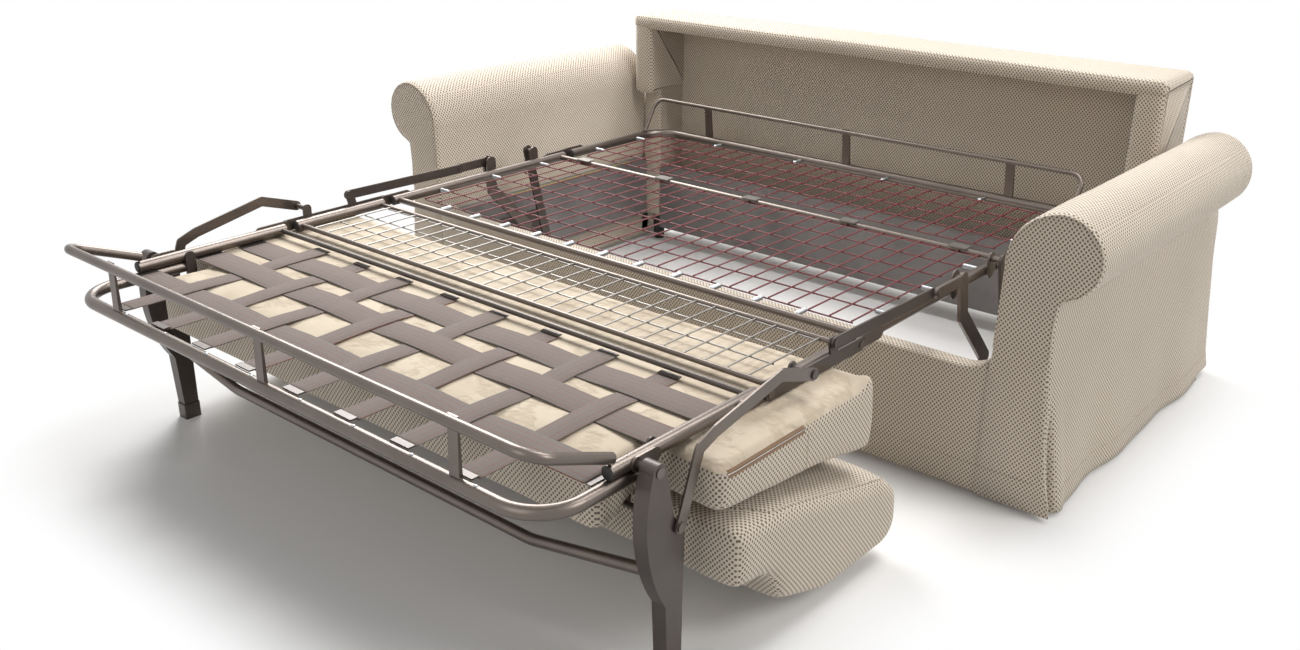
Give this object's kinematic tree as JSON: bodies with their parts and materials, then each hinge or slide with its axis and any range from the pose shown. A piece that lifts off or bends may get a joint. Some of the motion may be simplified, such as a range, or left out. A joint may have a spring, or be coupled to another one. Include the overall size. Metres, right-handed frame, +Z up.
{
  "type": "sofa bed",
  "caption": "Sofa bed standing open: a roll-arm upholstered sofa with a steel frame that folds, with its seat and back cushions, into the sofa body.",
  "frame": {"origin": "on the floor under the middle of the opened sofa bed", "axes": "+X to the sofa's left as one sits on it, +Y to the sofa's back, +Z up"},
  "size_m": [2.15, 2.212, 0.778],
  "materials": {
    "upholstery": "coarse weave",
    "board": "grey paint",
    "foot_plastic": "matt",
    "dark_steel": "satin paint",
    "bronze_steel": "satin metallic paint",
    "red_mesh": "satin paint",
    "grey_wire": "zinc",
    "webbing": "elastic webbing"
  },
  "bodies": {
    "sofa": {"arm_left": "upholstery", "arm_right": "upholstery", "back": "upholstery", "front_cover": "upholstery", "front_board": "board", "side_boards": "board", "rear_board": "board", "sofa_feet": "foot_plastic", "mount_plates": "dark_steel", "mount_bolts": "grey_wire"},
    "swing_arms": {"swing_arms": "bronze_steel"},
    "rear_links": {"rear_links": "bronze_steel"},
    "middle": {"middle_rails": "bronze_steel", "middle_plates": "bronze_steel", "middle_cross_rod": "bronze_steel", "crossbar": "bronze_steel", "crossbar_clips": "bronze_steel", "middle_mesh": "red_mesh", "middle_springs": "grey_wire"},
    "head": {"head_tube": "bronze_steel", "head_plates": "bronze_steel", "head_mesh": "red_mesh", "head_springs": "grey_wire", "head_rod": "bronze_steel", "head_brackets": "bronze_steel"},
    "spacer": {"spacer_rails": "bronze_steel", "spacer_plates": "bronze_steel", "spacer_rods": "grey_wire", "spacer_mesh": "grey_wire"},
    "foot": {"foot_rails": "bronze_steel", "foot_plates": "bronze_steel", "foot_tube": "bronze_steel", "foot_hinge_rod": "bronze_steel", "foot_hoop": "bronze_steel", "hoop_brackets": "bronze_steel", "long_belts": "webbing", "cross_belts": "webbing", "belt_hooks": "grey_wire", "seat_cushion": "upholstery", "cushion_hangers": "bronze_steel"},
    "back_cushion": {"back_cushion": "upholstery", "cushion_hinge": "bronze_steel"},
    "legs": {"legs": "dark_steel", "leg_caps": "foot_plastic", "stretcher": "dark_steel"},
    "leg_links": {"leg_links": "bronze_steel"},
    "drive_bars": {"drive_bars": "bronze_steel"}
  },
  "joints": [
    {"name": "bed_swing", "type": "hinge", "parent": "sofa", "child": "swing_arms", "pos_m": [0, 0.224, 0.1182], "axis": [-1, 0, 0], "range_deg": [0, 106.5]},
    {"name": "rear_link_swing", "type": "hinge", "parent": "sofa", "child": "rear_links", "pos_m": [0, 0.394, 0.1182], "axis": [-1, 0, 0], "range_deg": [0, 106.5]},
    {"name": "middle_level", "type": "hinge", "parent": "swing_arms", "child": "middle", "pos_m": [0, 0.142, 0.451], "axis": [-1, 0, 0], "range_deg": [-106.5, 0]},
    {"name": "head_tilt", "type": "hinge", "parent": "middle", "child": "head", "pos_m": [0, 0.439, 0.42], "axis": [-1, 0, 0], "range_deg": [-97, 0]},
    {"name": "spacer_fold", "type": "hinge", "parent": "middle", "child": "spacer", "pos_m": [0, -0.241, 0.42], "axis": [-1, 0, 0], "range_deg": [0, 90.91]},
    {"name": "foot_fold", "type": "hinge", "parent": "spacer", "child": "foot", "pos_m": [0, -0.541, 0.42], "axis": [-1, 0, 0], "range_deg": [0, 92.01]},
    {"name": "back_cushion_turn", "type": "hinge", "parent": "foot", "child": "back_cushion", "pos_m": [0, -0.821, 0.287], "axis": [-1, 0, 0], "range_deg": [0, 72]},
    {"name": "leg_fold", "type": "hinge", "parent": "foot", "child": "legs", "pos_m": [0, -0.887, 0.42], "axis": [-1, 0, 0], "range_deg": [0, 37.46]},
    {"name": "drive_bar_turn", "type": "hinge", "parent": "spacer", "child": "drive_bars", "pos_m": [0, -0.345, 0.457], "axis": [-1, 0, 0], "range_deg": [-96.85, 0]},
    {"name": "leg_link_turn", "type": "hinge", "parent": "spacer", "child": "leg_links", "pos_m": [0, -0.476, 0.449], "axis": [-1, 0, 0], "range_deg": [0, 85.79]}
  ],
  "couplings": [
    {"joint": "rear_link_swing", "follows": "bed_swing", "ratio": 1},
    {"joint": "middle_level", "follows": "bed_swing", "ratio": -1},
    {"joint": "head_tilt", "follows": "bed_swing", "ratio": -0.9108},
    {"joint": "spacer_fold", "follows": "bed_swing", "ratio": 0.85362},
    {"joint": "foot_fold", "follows": "bed_swing", "ratio": 0.86385},
    {"joint": "back_cushion_turn", "follows": "bed_swing", "ratio": 0.67606},
    {"joint": "leg_fold", "follows": "bed_swing", "ratio": 0.35168},
    {"joint": "drive_bar_turn", "follows": "bed_swing", "ratio": -0.90942},
    {"joint": "leg_link_turn", "follows": "bed_swing", "ratio": 0.80545}
  ]
}
